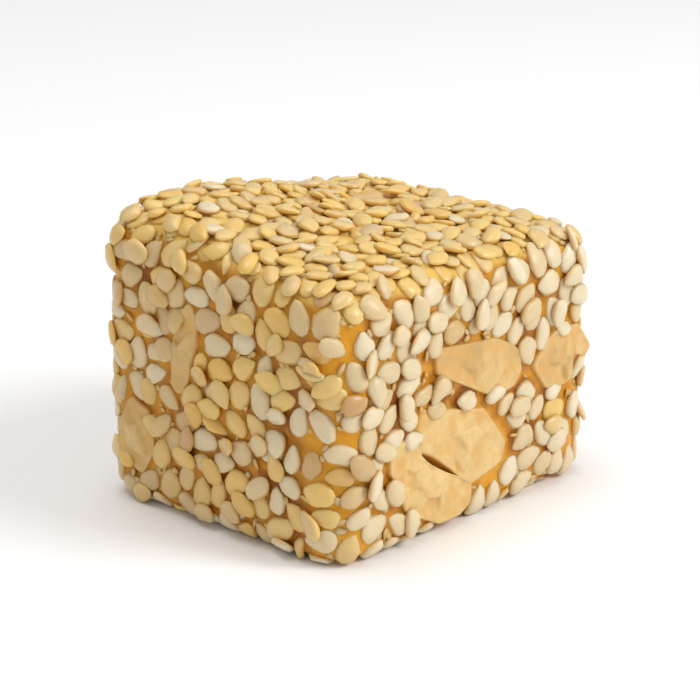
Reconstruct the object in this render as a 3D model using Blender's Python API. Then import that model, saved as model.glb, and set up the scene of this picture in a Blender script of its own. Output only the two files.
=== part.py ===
"""Hard nougat, one hand-cut block: amber caramel full of roasted peanut pieces, rolled in hulled sesame.

Metres, +Z up. The origin is the middle of the base, +X runs along the block's length and -Y is its front.
The nodes are nougat, which is the caramel with its sesame fused on, and one peanut_ node for each nut
piece that shows, sunk in a pocket of its own.
"""

import math

import bmesh
import bpy
import numpy as np
from mathutils import Matrix, Vector

MM = 0.001

# The caramel block, without the sesame on it.
BLOCK_CUTS = 5
FLAT_ANGLE = math.radians(2)
LENGTH = 30.2 * MM
WIDTH = 25.6 * MM
HEIGHT = 20.3 * MM
BASE_LIFT = 0.4 * MM  # the flattened sesame under the block holds the caramel this far up
UPRIGHT_ROUND = 3.0 * MM  # radius of the upright edges, seen from above
RIM_ROUND = 2.2 * MM  # height over which the top and bottom edges turn in
TOP_CORNER = 2.6  # power of the curve in which they turn in: 2 is round, and more is squarer
BASE_CORNER = 4.0
CROWN_RISE = 3.1 * MM  # the top isn't level: it swells towards the back left
CROWN_AT = (-8.0 * MM, 9.0 * MM)
CROWN_SPREAD = 9.5 * MM
BELLY = 0.012  # share by which the soft sides bow out at half height

# Hulled sesame.
SEED_LENGTH = 3.0 * MM
SEED_WIDTH = 2.2 * MM
SEED_THICKNESS = 0.8 * MM
SEED_COUNT = 590  # seeds that cover the block
SEEDS_FUSED = 290  # the most evenly spread of them, which this solid holds
SEED_TRIES = 60  # places tried for each seed, of which it takes the one with the most room
SEED_ROUNDS = 50  # rounds in which the seeds then shove each other into place
SEED_SNUG = 0.95  # how near they may come, as a share of their widths
SEED_SPREAD = 0.10  # share by which seeds differ in size
SEED_TILT = math.radians(7)
SEED_SIDES = 6
SEED_TAPER = 0.25  # share by which one end is narrower and the other wider than the middle
SEED_RIM = 0.42 * MM  # how far out of the caramel a seed's widest line lies
SEED_FOOT = 1.2 * MM  # how far in the caramel its underside ends
# discs that stand for a seed when it is laid: place along it, from the blunt end, and radius
SEED_DISCS = np.array(((-0.5, 1.0), (0.1, 1.02), (0.8, 0.7))) * MM
NUT_MARGIN = 0.9 * MM  # bare caramel between a nut piece and the middle line of the nearest seed
PATCH_EDGE = 0.03  # share by which seeds keep clear of the edge of a nut piece's patch
PATCH_PUSH = 3 * MM

# Peanut pieces, each sunk in a pocket with GAP all round.
GAP = 0.35 * MM
NUT_PROUD = 0.85 * MM
NUT_WAIST = 0.3 * MM  # how far a piece's widest line lies in the caramel
NUT_DEEP = 3.0  # in millimetres, the most that a piece reaches below its widest line
NUT_SIDES = 12
NUT_RINGS = 6
NUT_FULL = 1.15  # size of a whole nut half, as a share of the piece broken from it
NUT_CHIPS = 6
NUT_CHIP_SHARE = (0.8, 0.98)  # how far out a piece is broken off, as a share of its reach
NUT_WELD = 0.15 * MM
# of two pieces that touch, the one on top and the one cut away round it
NUT_LAPS = (("peanut_front_upper", "peanut_front_lower"),)

RANDOM_SEED = 7

# name: outward normal, then the directions to the right and up as seen from outside
FACES = {
    "front": ((0, -1, 0), (1, 0, 0), (0, 0, 1)),
    "left": ((-1, 0, 0), (0, -1, 0), (0, 0, 1)),
    "back": ((0, 1, 0), (-1, 0, 0), (0, 0, 1)),
    "right": ((1, 0, 0), (0, 1, 0), (0, 0, 1)),
    "top": ((0, 0, 1), (1, 0, 0), (0, 1, 0)),
    "base": ((0, 0, -1), (1, 0, 0), (0, -1, 0)),
}
FACE_NAMES = tuple(FACES)
HALF = np.array([LENGTH, WIDTH, HEIGHT]) / 2
ROUND = np.array([UPRIGHT_ROUND, UPRIGHT_ROUND, RIM_ROUND])

# name: face, place of its middle on that face from the face's middle, length and width, turn in degrees
NUTS = {
    "peanut_front_upper": ("front", (-1.2, -3.7), (12.2, 6.2), -26),
    "peanut_front_lower": ("front", (-5.2, -6.0), (11.4, 6.0), -32),
    "peanut_front_middle": ("front", (0.6, 2.0), (11.0, 4.4), -16),
    "peanut_front_edge": ("front", (10.9, 0.4), (7.2, 4.4), 12),
    "peanut_left_low": ("left", (-8.8, -4.8), (6.0, 4.0), 84),
    "peanut_left_splinter": ("left", (-3.1, 3.2), (7.4, 2.0), 78),
    "peanut_back_half": ("back", (-6.6, 1.2), (11.8, 7.6), 15),
    "peanut_back_low": ("back", (4.2, -5.2), (8.2, 5.6), -30),
    "peanut_back_high": ("back", (8.8, 4.2), (6.8, 4.8), 40),
    "peanut_right_half": ("right", (-4.4, -3.2), (10.0, 7.2), -20),
    "peanut_right_high": ("right", (5.6, 3.4), (7.4, 5.2), 55),
    "peanut_top_chip": ("top", (8.2, 4.8), (6.4, 4.2), 25),
    "peanut_base_half": ("base", (3.2, -5.9), (9.2, 5.8), 35),
}
# the breaks round the pieces that show most: direction in degrees, and distance from the middle
NUT_BREAKS = {
    "peanut_front_upper": ((103, 2.5), (67, 3.0), (9, 5.4), (-56, 3.6), (-98, 2.4), (176, 6.0)),
    "peanut_front_lower": (
        (119, 3.95), (32, 4.8), (-24, 5.0), (-60, 3.45), (-85, 2.55), (-121, 2.95), (-154, 4.75),
    ),
    "peanut_front_middle": (
        (100, 1.9), (82, 2.3), (33, 4.4), (-14, 5.0), (-69, 2.85), (-101, 1.6), (-157, 4.9),
    ),
}
# bare caramel on a face: place of its middle, half sizes
BARE = (
    ("front", (-6.0, 4.4), (1.3, 1.4)),
    ("front", (-10.8, -4.0), (1.1, 1.4)),
    ("front", (-14.6, 7.2), (1.4, 2.3)),
    ("left", (5.1, -4.5), (1.8, 1.6)),
    ("left", (9.4, -5.9), (1.1, 1.4)),
    ("left", (8.0, -0.5), (3.4, 0.8)),
    ("left", (-6.1, -1.4), (1.3, 1.0)),
    ("left", (8.8, 7.2), (1.6, 0.8)),
    ("back", (1.0, 4.4), (1.8, 1.6)),
    ("back", (-11.0, -6.4), (1.3, 1.2)),
    ("right", (6.8, -4.6), (1.4, 2.0)),
    ("right", (-8.8, 5.4), (1.2, 1.2)),
)


def face_axes(name):
    """Outward normal, right and up of a face, as rows."""
    return np.array(FACES[name], float)


def hand_cut(points):
    """Gives points of the even block its swelling top and its bowed sides."""
    x, y, z = points.T
    up = z / HEIGHT
    off = (x - CROWN_AT[0]) ** 2 + (y - CROWN_AT[1]) ** 2
    rise = CROWN_RISE * np.exp(-off / (2 * CROWN_SPREAD**2)) * np.clip(up, 0, 1) ** 3
    bow = 1 + BELLY * np.sin(math.pi * np.clip(up, 0, 1))
    return np.stack([x * bow, y * bow, z + rise + BASE_LIFT], axis=1)


def surface(places):
    """The caramel's surface at places on a cube of half side 1."""
    flat = places * HALF
    core = np.clip(flat, ROUND - HALF, HALF - ROUND)
    out = (flat - core) / ROUND
    power = np.where(flat[:, 2] > 0, TOP_CORNER, BASE_CORNER)
    level, rise = np.linalg.norm(out[:, :2], axis=1), abs(out[:, 2])
    out /= ((level**power + rise**power) ** (1 / power))[:, None]
    return hand_cut(core + out * ROUND + [0, 0, HALF[2]])


def frames(faces, across, up):
    """Points of the surface with their right, up and outward directions. across and up run from -1 to 1."""
    axes = np.stack([face_axes(FACE_NAMES[f]) for f in faces])
    step = 0.01
    places = axes[:, 0] + across[:, None] * axes[:, 1] + up[:, None] * axes[:, 2]
    here = surface(places)
    right = surface(places + step * axes[:, 1]) - here
    right /= np.linalg.norm(right, axis=1, keepdims=True)
    rise = surface(places + step * axes[:, 2]) - here
    out = np.cross(right, rise)
    out /= np.linalg.norm(out, axis=1, keepdims=True)
    return here, right, np.cross(out, right), out


def face_size(name):
    """Half width and half height of a face."""
    _, right, up = face_axes(name)
    return np.array([abs(right) @ HALF, abs(up) @ HALF])


def patch_matrix(face, at, turn):
    """The place of a patch of a face: its x along it, its z out of the block."""
    place = np.array(at) * MM / face_size(face)
    middle, right, up, out = (rows[0] for rows in frames([FACE_NAMES.index(face)], place[:1], place[1:]))
    angle = math.radians(turn)
    along = math.cos(angle) * right + math.sin(angle) * up
    turned = Matrix(np.stack([along, np.cross(out, along), out], axis=1)).to_4x4()
    return Matrix.Translation(middle) @ turned


def seedless_patches():
    """For each nut piece and each bare patch of caramel, its matrix turned back and how far it reaches."""
    found = []
    for face, at, size, turn in NUTS.values():
        reach = np.array([*size, 2 * NUT_DEEP]) * MM / 2 + NUT_MARGIN
        found.append((np.array(patch_matrix(face, at, turn).inverted()), reach))
    for face, at, size in BARE:
        found.append((np.array(patch_matrix(face, at, 0).inverted()), np.array([*size, 2.0]) * MM))
    return found


def clear_of(patches, points):
    """Whether each point lies outside every patch."""
    shares = [np.linalg.norm((points @ m[:3, :3].T + m[:3, 3]) / reach, axis=-1) for m, reach in patches]
    return np.min(shares, axis=0) > 1


def seed_discs(middle, along, size):
    """Middles of the discs that stand for each seed."""
    return middle[:, None] + (size[:, None] * SEED_DISCS[:, 0])[..., None] * along[:, None]


def lay_seeds(count, rng):
    """Places seeds one after another, each where it has the most room of SEED_TRIES places."""
    patches = seedless_patches()
    areas = np.array([np.prod(face_size(name)) for name in FACE_NAMES])
    shares = areas / areas.sum()
    laid = {key: [] for key in ("middle", "along", "out", "size", "tilt")}
    taken = np.zeros((0, 3))
    while len(laid["size"]) < count:
        faces = rng.choice(len(FACE_NAMES), SEED_TRIES, p=shares)
        across, up = rng.uniform(-1, 1, (2, SEED_TRIES))
        turn = rng.uniform(0, math.pi, SEED_TRIES)
        size = 1 + SEED_SPREAD * rng.uniform(-1, 1, SEED_TRIES)
        tilt = SEED_TILT * rng.normal(0, 1, 2)
        if not len(taken):
            # the first seed lies in the middle of the base, where the block's mount is
            faces[0], across[0], up[0] = FACE_NAMES.index("base"), 0, 0
        middle, right, rise, out = frames(faces, across, up)
        along = np.cos(turn)[:, None] * right + np.sin(turn)[:, None] * rise
        discs = seed_discs(middle, along, size)
        clear = clear_of(patches, discs).all(axis=1)
        room = np.full(SEED_TRIES, 1.0)
        if len(taken):
            gaps = discs[:, :, None] - taken[None, None]
            room = np.sqrt((gaps**2).sum(-1)).min((1, 2))
        best = int(np.argmax(np.where(clear, room, -1)))
        if not clear[best]:
            continue
        for key, value in (("middle", middle), ("along", along), ("out", out), ("size", size)):
            laid[key].append(value[best])
        laid["tilt"].append(tilt)
        taken = np.concatenate([taken, discs[best]])
    return {key: np.array(value) for key, value in laid.items()}


def on_surface(points, along):
    """Points near the caramel brought onto it, with along turned flat on it, and its outward direction."""
    z = points[:, 2] - BASE_LIFT
    off = (points[:, 0] - CROWN_AT[0]) ** 2 + (points[:, 1] - CROWN_AT[1]) ** 2
    peak = CROWN_RISE * np.exp(-off / (2 * CROWN_SPREAD**2))
    up = np.clip(z / HEIGHT, 0, 1)
    for _ in range(4):
        up = np.clip((z - peak * up**3) / HEIGHT, 0, 1)
    bow = 1 + BELLY * np.sin(math.pi * up)
    even = np.stack([points[:, 0] / bow, points[:, 1] / bow, z - peak * up**3 - HALF[2]], axis=1)
    core = np.clip(even, ROUND - HALF, HALF - ROUND)
    out = (even - core) / ROUND
    reach = (HALF - np.abs(core)) / np.maximum(np.abs(out) * ROUND, 1e-9)
    cube = (core + reach.min(axis=1, keepdims=True) * out * ROUND) / HALF
    axes = np.array(list(FACES.values()), float)
    faces = (cube @ axes[:, 0].T).argmax(axis=1)
    across, up = (cube * axes[faces, 1]).sum(1), (cube * axes[faces, 2]).sum(1)
    here, _, _, out = frames(faces, across, up)
    along = along - (along * out).sum(1, keepdims=True) * out
    return here, along / np.linalg.norm(along, axis=1, keepdims=True), out


def shove(middle, discs, radii, patches):
    """How far each disc is pushed off the discs of other seeds, and off nut pieces and bare patches."""
    near = np.linalg.norm(middle[:, None] - middle[None], axis=-1) < 1.5 * SEED_LENGTH
    np.fill_diagonal(near, False)
    one, other = np.nonzero(near)
    gap = discs[one][:, :, None] - discs[other][:, None]
    apart = np.linalg.norm(gap, axis=-1) + 1e-9
    push = np.clip(radii[one][:, :, None] + radii[other][:, None] - apart, 0, None)
    pushed = np.zeros_like(discs)
    np.add.at(pushed, one, ((push / apart)[..., None] * gap).sum(2))
    for turned, reach in patches:
        local = (discs @ turned[:3, :3].T + turned[:3, 3]) / reach
        inside = np.clip(1 + PATCH_EDGE - np.linalg.norm(local, axis=-1, keepdims=True), 0, None)
        local[..., 2] = 0
        local /= np.linalg.norm(local, axis=-1, keepdims=True) + 1e-9
        pushed += (inside * PATCH_PUSH * local) @ turned[:3, :3]
    return pushed


def settle_seeds(laid):
    """Lets the seeds shove each other over the caramel until they lie snugly side by side."""
    patches = seedless_patches()
    size = laid["size"]
    radii = size[:, None] * SEED_DISCS[:, 1] * SEED_SNUG
    middle, along, out = on_surface(laid["middle"], laid["along"])
    for _ in range(SEED_ROUNDS):
        discs = seed_discs(middle, along, size)
        pushed = shove(middle, discs, radii, patches)
        arm = discs - middle[:, None]
        turn = (np.cross(arm, pushed).sum(1) * out).sum(1) / (arm**2).sum((1, 2))
        turn = np.clip(turn / 2, -0.4, 0.4)[:, None]
        along = along * np.cos(turn) + np.cross(out, along) * np.sin(turn)
        middle, along, out = on_surface(middle + pushed.mean(1) / 2, along)
    clear = clear_of(patches, seed_discs(middle, along, size)).all(axis=1)
    return dict(laid, middle=middle, along=along, out=out), clear


def material(name, colour, roughness):
    """A plain finish; colour is linear."""
    made = bpy.data.materials.new(name)
    made.use_nodes = True
    shader = made.node_tree.nodes["Principled BSDF"]
    shader.inputs["Base Color"].default_value = (*colour, 1)
    shader.inputs["Roughness"].default_value = roughness
    return made


def new_object(name, bm, collection, finish=None):
    mesh = bpy.data.meshes.new(name)
    bm.to_mesh(mesh)
    bm.free()
    made = bpy.data.objects.new(name, mesh)
    collection.objects.link(made)
    if finish:
        mesh.materials.append(finish)
    return made


def new_collection(name, hidden=False):
    made = bpy.data.collections.new(name)
    bpy.context.scene.collection.children.link(made)
    made.hide_render = hidden
    return made


def apply_boolean(target, operation, cutters):
    """Joins or cuts target with every object of a collection, which are then removed."""
    modifier = target.modifiers.new(operation.lower(), "BOOLEAN")
    modifier.operation = operation
    modifier.operand_type = "COLLECTION"
    modifier.collection = cutters
    modifier.solver = "EXACT"
    graph = bpy.context.evaluated_depsgraph_get()
    made = bpy.data.meshes.new_from_object(target.evaluated_get(graph))
    target.modifiers.clear()
    target.data = made
    for cutter in list(cutters.objects):
        bpy.data.objects.remove(cutter)
    bpy.data.collections.remove(cutters)


def block_mesh():
    """The caramel block: a cube in an even grid, whose outermost cells on each face are its rounded edges."""
    bm = bmesh.new()
    bmesh.ops.create_cube(bm, size=2)
    bmesh.ops.subdivide_edges(bm, edges=bm.edges, cuts=BLOCK_CUTS, use_grid_fill=True)
    flat = 1 - ROUND / HALF
    for vert in bm.verts:
        place = np.array(vert.co)
        evened = [np.interp(abs(t), (0, 0.5, 1), (0, f, 1)) for t, f in zip(place, flat)]
        vert.co = surface(np.copysign([evened], place))[0]
    bmesh.ops.triangulate(bm, faces=bm.faces)
    bmesh.ops.dissolve_limit(bm, angle_limit=FLAT_ANGLE, verts=bm.verts, edges=bm.edges)
    bmesh.ops.triangulate(bm, faces=bm.faces)
    return bm


def seed_mesh(middle, along, out, size, tilt):
    """A flat teardrop of sesame with its foot sunk in the caramel. The base presses it flat."""
    bm = bmesh.new()
    bmesh.ops.create_uvsphere(bm, u_segments=SEED_SIDES, v_segments=2, radius=1)
    half = Vector((SEED_LENGTH, SEED_WIDTH)) * size / 2
    heights = {1: SEED_THICKNESS * size, 0: SEED_RIM, -1: -SEED_FOOT}
    turned = Matrix(np.stack([along, np.cross(out, along), out], axis=1))
    turned = turned @ Matrix.Rotation(tilt[0], 3, "X") @ Matrix.Rotation(tilt[1], 3, "Y")
    for vert in bm.verts:
        x, y, z = vert.co
        width = half.y * (1 - SEED_TAPER * x)
        vert.co = turned @ Vector((half.x * x, width * y, heights[round(z)])) + Vector(middle)
        vert.co.z = max(vert.co.z, 0)
    return bm


def cut_off(bm, place, normal):
    """Cuts away what lies beyond a plane, and closes the cut."""
    geometry = bm.verts[:] + bm.edges[:] + bm.faces[:]
    bmesh.ops.bisect_plane(bm, geom=geometry, plane_co=place, plane_no=normal, clear_outer=True)
    bmesh.ops.holes_fill(bm, edges=[edge for edge in bm.edges if edge.is_boundary])


def nut_mesh(name, swell=0):
    """A roasted peanut piece: an oval lump broken off flat on its sides and its top. swell makes its pocket."""
    face, at, (length, width), turn_of_it = NUTS[name]
    rng = np.random.default_rng([RANDOM_SEED, list(NUTS).index(name)])
    half = np.array([length, width]) * MM / 2
    deep = min(half[1], NUT_DEEP * MM)
    full = half * NUT_FULL
    bm = bmesh.new()
    bmesh.ops.create_uvsphere(bm, u_segments=NUT_SIDES, v_segments=NUT_RINGS, radius=1)
    for vert in bm.verts:
        x, y, z = vert.co
        tall = NUT_PROUD + NUT_WAIST if z > 0 else deep
        vert.co = Vector((x * full[0], y * full[1], z * tall - NUT_WAIST))
    breaks = []
    for turn, reach in NUT_BREAKS.get(name, ()):
        level = Vector((math.cos(math.radians(turn)), math.sin(math.radians(turn)), 0))
        breaks.append((level * reach * MM, (level + Vector((0, 0, rng.uniform(0.1, 0.5)))).normalized()))
    for number in range(0 if breaks else NUT_CHIPS):
        turn = 2 * math.pi * (number + rng.uniform(-0.3, 0.3)) / NUT_CHIPS
        normal = Vector((math.cos(turn), math.sin(turn) * length / width, rng.uniform(0.1, 0.6)))
        normal.normalize()
        reach = math.hypot(normal.x * half[0], normal.y * half[1], normal.z * NUT_PROUD)
        breaks.append((normal * reach * rng.uniform(*NUT_CHIP_SHARE), normal))
    turn = rng.uniform(0, 2 * math.pi)
    for side in (1, -1):
        slope = side * rng.uniform(0.08, 0.16)
        top = Vector((slope * math.cos(turn), slope * math.sin(turn), 1)).normalized()
        breaks.append((Vector((0, 0, 0.85 * NUT_PROUD)), top))
    for place, normal in breaks:
        cut_off(bm, place, normal)
    bmesh.ops.remove_doubles(bm, verts=bm.verts, dist=NUT_WELD)
    bmesh.ops.dissolve_limit(bm, angle_limit=FLAT_ANGLE, verts=bm.verts, edges=bm.edges)
    bmesh.ops.recalc_face_normals(bm, faces=bm.faces)
    if swell:
        bm.normal_update()
        moved = [vert.co + vert.normal * swell * vert.calc_shell_factor() for vert in bm.verts]
        for vert, place in zip(bm.verts, moved):
            vert.co = place
    bmesh.ops.transform(bm, matrix=patch_matrix(face, at, turn_of_it), verts=bm.verts)
    if not swell:
        cut_off(bm, Vector((0, 0, 0)), Vector((0, 0, -1)))
    return bm


def keep_largest_body(mesh):
    """Drops the scraps that a join leaves, and the walls of any hollow that it seals."""
    bm = bmesh.new()
    bm.from_mesh(mesh)
    bodies = []
    left = set(bm.verts)
    while left:
        body = {left.pop()}
        edge_of_it = list(body)
        while edge_of_it:
            vert = edge_of_it.pop()
            found = {edge.other_vert(vert) for edge in vert.link_edges} - body
            body |= found
            edge_of_it += found
        left -= body
        bodies.append(body)
    bodies.sort(key=len)
    bmesh.ops.delete(bm, geom=[vert for body in bodies[:-1] for vert in body], context="VERTS")
    bmesh.ops.triangulate(bm, faces=bm.faces)
    bm.to_mesh(mesh)
    bm.free()


def clear_scene():
    for made in list(bpy.data.objects):
        bpy.data.objects.remove(made)
    for collection in list(bpy.data.collections):
        bpy.data.collections.remove(collection)


def main():
    clear_scene()
    whole = new_collection("hard_nougat")
    amber = material("caramel_and_sesame", (0.75, 0.53, 0.24), 0.35)
    nut = material("roasted_peanut", (0.81, 0.56, 0.25), 0.5)
    pockets = new_collection("pockets", hidden=True)
    for name in NUTS:
        made = new_object(name, nut_mesh(name), whole, nut.copy())
        for over, under in NUT_LAPS:
            if name == under:
                lap = new_collection("lap", hidden=True)
                new_object("lap_cutter", nut_mesh(over, GAP), lap)
                apply_boolean(made, "DIFFERENCE", lap)
        new_object("pocket_" + name, nut_mesh(name, GAP), pockets)
    nougat = new_object("nougat", block_mesh(), whole, amber)
    apply_boolean(nougat, "DIFFERENCE", pockets)
    laid, clear = settle_seeds(lay_seeds(SEED_COUNT, np.random.default_rng(RANDOM_SEED)))
    seeds = new_collection("sesame", hidden=True)
    for number in np.flatnonzero(clear)[:SEEDS_FUSED]:
        row = (laid[key][number] for key in ("middle", "along", "out", "size", "tilt"))
        new_object(f"seed_{number}", seed_mesh(*row), seeds)
    apply_boolean(nougat, "UNION", seeds)
    for made in whole.objects:
        keep_largest_body(made.data)


main()
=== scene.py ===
"""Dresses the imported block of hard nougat: amber caramel, hulled sesame, roasted peanut pieces.

Metres, +Z up, with the block's front towards -Y. Run as a script in Blender 4.5.
"""

import math

import bpy
import numpy as np
from bpy.props import FloatProperty, FloatVectorProperty, IntProperty, PointerProperty
from mathutils import Matrix, Vector, noise
from mathutils.bvhtree import BVHTree


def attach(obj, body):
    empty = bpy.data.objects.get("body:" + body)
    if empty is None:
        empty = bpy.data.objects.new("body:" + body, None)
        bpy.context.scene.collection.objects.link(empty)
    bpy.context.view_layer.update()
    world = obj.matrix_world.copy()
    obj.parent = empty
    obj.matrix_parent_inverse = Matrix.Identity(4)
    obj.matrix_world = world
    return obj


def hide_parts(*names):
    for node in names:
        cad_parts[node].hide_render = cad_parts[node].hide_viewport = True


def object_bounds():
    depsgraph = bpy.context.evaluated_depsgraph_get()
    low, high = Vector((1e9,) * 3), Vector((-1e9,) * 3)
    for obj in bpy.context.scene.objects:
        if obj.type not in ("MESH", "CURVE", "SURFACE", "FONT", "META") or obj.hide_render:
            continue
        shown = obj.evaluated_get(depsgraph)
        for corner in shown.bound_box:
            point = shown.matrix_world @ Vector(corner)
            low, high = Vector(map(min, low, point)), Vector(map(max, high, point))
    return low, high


bl_info = {
    "name": "Hard nougat",
    "version": (1, 0, 0),
    "blender": (4, 5, 0),
    "location": "View3D > Sidebar > Nougat",
    "description": "Caramel, sesame and peanut pieces of one hand-cut block of hard nougat",
    "category": "Object",
}

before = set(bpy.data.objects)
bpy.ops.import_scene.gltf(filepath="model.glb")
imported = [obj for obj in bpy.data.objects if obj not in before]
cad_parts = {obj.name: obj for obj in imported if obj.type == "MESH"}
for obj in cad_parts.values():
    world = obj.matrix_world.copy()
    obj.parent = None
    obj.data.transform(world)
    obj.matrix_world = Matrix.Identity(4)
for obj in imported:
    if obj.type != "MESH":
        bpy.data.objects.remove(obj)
CAD_BOX = [list(corner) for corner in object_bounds()]

MM = 0.001
RANDOM_SEED = 7

# The caramel block, without the sesame on it.
LENGTH = 30.2 * MM
WIDTH = 25.6 * MM
HEIGHT = 20.3 * MM
BASE_LIFT = 0.4 * MM  # the lowest seeds carry it
UPRIGHT_ROUND = 3.0 * MM
RIM_ROUND = 2.2 * MM
TOP_CORNER = 2.6  # power of the rim's curve, where a circle's is 2
BASE_CORNER = 4.0
CROWN_RISE = 3.1 * MM
CROWN_AT = (-8.0 * MM, 9.0 * MM)
CROWN_SPREAD = 9.5 * MM
BELLY = 0.012  # how much wider it is halfway up
HALF = np.array([LENGTH, WIDTH, HEIGHT]) / 2
ROUND = np.array([UPRIGHT_ROUND, UPRIGHT_ROUND, RIM_ROUND])

# Hulled sesame, laid by the same rule as in the solid.
SEED_LENGTH = 3.0 * MM
SEED_WIDTH = 2.2 * MM
SEED_COUNT = 590
SEED_TRIES = 60
SEED_SPREAD = 0.10  # how much their sizes differ
SEED_ROUNDS = 50  # of shoving each other
SEED_SNUG = 0.95
SEED_DISCS = np.array(((-0.5, 1.0), (0.1, 1.02), (0.8, 0.7))) * MM  # places and radii
NUT_DEEP = 3.0  # millimetres
BARE_DEEP = 2.0
NUT_MARGIN = 0.9 * MM
PATCH_EDGE = 0.03
PATCH_PUSH = 3 * MM
NUT_PROUD = 0.85 * MM

# Seeds that the solid leaves out, in the room between the others.
FILL_TRIES = 9000
FILL_SIZES = (0.72, 0.96)
FILL_ROOM = 1.2 * MM
TOP_ROOM = 0.85 * MM  # where the seeds are smaller and lie closer
TOP_SHARE = 0.88
FILL_MARGIN = -0.4 * MM  # they may lie on the edge of a nut piece

# name: outward normal, then the directions to the right and up as seen from outside
FACES = {
    "front": ((0, -1, 0), (1, 0, 0), (0, 0, 1)),
    "left": ((-1, 0, 0), (0, -1, 0), (0, 0, 1)),
    "back": ((0, 1, 0), (-1, 0, 0), (0, 0, 1)),
    "right": ((1, 0, 0), (0, 1, 0), (0, 0, 1)),
    "top": ((0, 0, 1), (1, 0, 0), (0, 1, 0)),
    "base": ((0, 0, -1), (1, 0, 0), (0, -1, 0)),
}
FACE_NAMES = tuple(FACES)

# in millimetres: face, place from the face's middle, length and width, then turn in degrees
NUTS = {
    "peanut_front_upper": ("front", (-1.2, -3.7), (12.2, 6.2), -26),
    "peanut_front_lower": ("front", (-5.2, -6.0), (11.4, 6.0), -32),
    "peanut_front_middle": ("front", (0.6, 2.0), (11.0, 4.4), -16),
    "peanut_front_edge": ("front", (10.9, 0.4), (7.2, 4.4), 12),
    "peanut_left_low": ("left", (-8.8, -4.8), (6.0, 4.0), 84),
    "peanut_left_splinter": ("left", (-3.1, 3.2), (7.4, 2.0), 78),
    "peanut_back_half": ("back", (-6.6, 1.2), (11.8, 7.6), 15),
    "peanut_back_low": ("back", (4.2, -5.2), (8.2, 5.6), -30),
    "peanut_back_high": ("back", (8.8, 4.2), (6.8, 4.8), 40),
    "peanut_right_half": ("right", (-4.4, -3.2), (10.0, 7.2), -20),
    "peanut_right_high": ("right", (5.6, 3.4), (7.4, 5.2), 55),
    "peanut_top_chip": ("top", (8.2, 4.8), (6.4, 4.2), 25),
    "peanut_base_half": ("base", (3.2, -5.9), (9.2, 5.8), 35),
}
# bare caramel in millimetres: face, place from the face's middle, half sizes
BARE = (
    ("front", (-6.0, 4.4), (1.3, 1.4)),
    ("front", (-10.8, -4.0), (1.1, 1.4)),
    ("front", (-14.6, 7.2), (1.4, 2.3)),
    ("left", (5.1, -4.5), (1.8, 1.6)),
    ("left", (9.4, -5.9), (1.1, 1.4)),
    ("left", (8.0, -0.5), (3.4, 0.8)),
    ("left", (-6.1, -1.4), (1.3, 1.0)),
    ("left", (8.8, 7.2), (1.6, 0.8)),
    ("back", (1.0, 4.4), (1.8, 1.6)),
    ("back", (-11.0, -6.4), (1.3, 1.2)),
    ("right", (6.8, -4.6), (1.4, 2.0)),
    ("right", (-8.8, 5.4), (1.2, 1.2)),
)

# Seeds and flecks as they are shown.
SEED_SHARE = 0.87  # of the solid's seed, which is coarse
SEED_SINK = 0.2 * MM  # how deep a seed's underside is pressed in the caramel
PRESSED_BITE = 0.16 * MM  # how deep a seed in the caramel may press into its neighbours
PRESSED_TILT = 0.11
LOOSE_BITE = 0.06 * MM
LOOSE_SHARES = np.array([1.0, 1.0, 1.0, 1.0, 8.0, 0.0]) / 12  # by face
LOOSE_SIZES = (0.84, 1.02)
LOOSE_THICKNESS = 0.9
LOOSE_ON_PATCHES = 0.12  # of the places on nut pieces and bare patches may be taken
LOOSE_TRIES = 14  # places tried for each loose seed, of which it takes the lowest
EDGE_SHARE = 0.05  # of the seeds were caught on their sides
NEIGHBOUR_REACH = 3.6 * MM
FACING = 0.6  # how far what lies on the top or on the left faces that way
KINDS = ("pale", "glazed", "toasted")
# Seeds that face left are glazed more often: partly the glaze there, partly painted shade that makes
# that side warmer and darker.
KIND_SHARES = {"top": (0.1, 0.88, 0.02), "left": (0.36, 0.60, 0.04), "rest": (0.92, 0.05, 0.03)}
LEFT_PAINTED_SHADE = 0.2  # painted shade: how much browner the seeds that face left are made, for the warm shade on that side
SEED_STAIN = (0.68, 0.34, 0.05)
FLECK_STAIN = (0.62, 0.32, 0.07)
FLECK_MARGIN = 0.1 * MM
FLECK_TRIES = 30  # places for each fleck
FLECK_SIZES = ((0.22, 0.62), (0.14, 0.36), (0.08, 0.2))  # ranges of its half sizes, millimetres

# Nut pieces as they are shown.
NUT_BITE = 0.1 * MM
NUT_REACH = 0.46  # of a piece's length and width, within which seeds rest on it
NUT_SWELL = 0.25 * MM  # closes the solid's gap round a nut piece
NUT_CLIMB = 0.12 * MM  # how far the caramel climbs its side
NUT_CLIMB_WIDTH = 0.4 * MM
NUT_GLAZE = (0.68, 0.34, 0.06)
CRACK_SWELL = 0.02 * MM  # above the caramel, where two nut pieces show a crack between them
CRACK_ENDS = np.array([(-6.6, -3.0), (-1.4, -6.2)]) * MM  # where it gapes, from the front's middle
CRACK_GAPE = 0.34 * MM  # how far each of the two nut pieces stands back from it
CRACK_DEPTH = 1.1 * MM
CRACK_SIDES = {"peanut_front_upper": 1, "peanut_front_lower": -1}
CHIP_AREA = 4.5  # square millimetres of a nut piece for each chip off it
CHIP_DEPTH = 0.3 * MM
CHIP_EDGE = 0.07 * MM
PALE_NUTS = ("peanut_front_upper", "peanut_front_lower", "peanut_back_half", "peanut_right_half")

# The stage.
FLOOR_SIZE = 6
WORLD_LIGHT = 0.54
LIGHT_AIM = (0, 0, 0.01)
LIGHTS = (  # name, place, width and power
    ("key", (0.20, -0.42, 0.36), 0.26, 1.92),
    ("above", (-0.05, 0.08, 0.60), 0.40, 1.4),
)
CAMERA_AT = (-0.1275, -0.1171, 0.0677)
CAMERA_AIM = (0.0, 0.0, 0.0112)
CAMERA_FOCAL = 2240  # in pixels of a frame FRAME_WIDTH wide
FRAME_WIDTH = 700
SENSOR_WIDTH = 36


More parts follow.
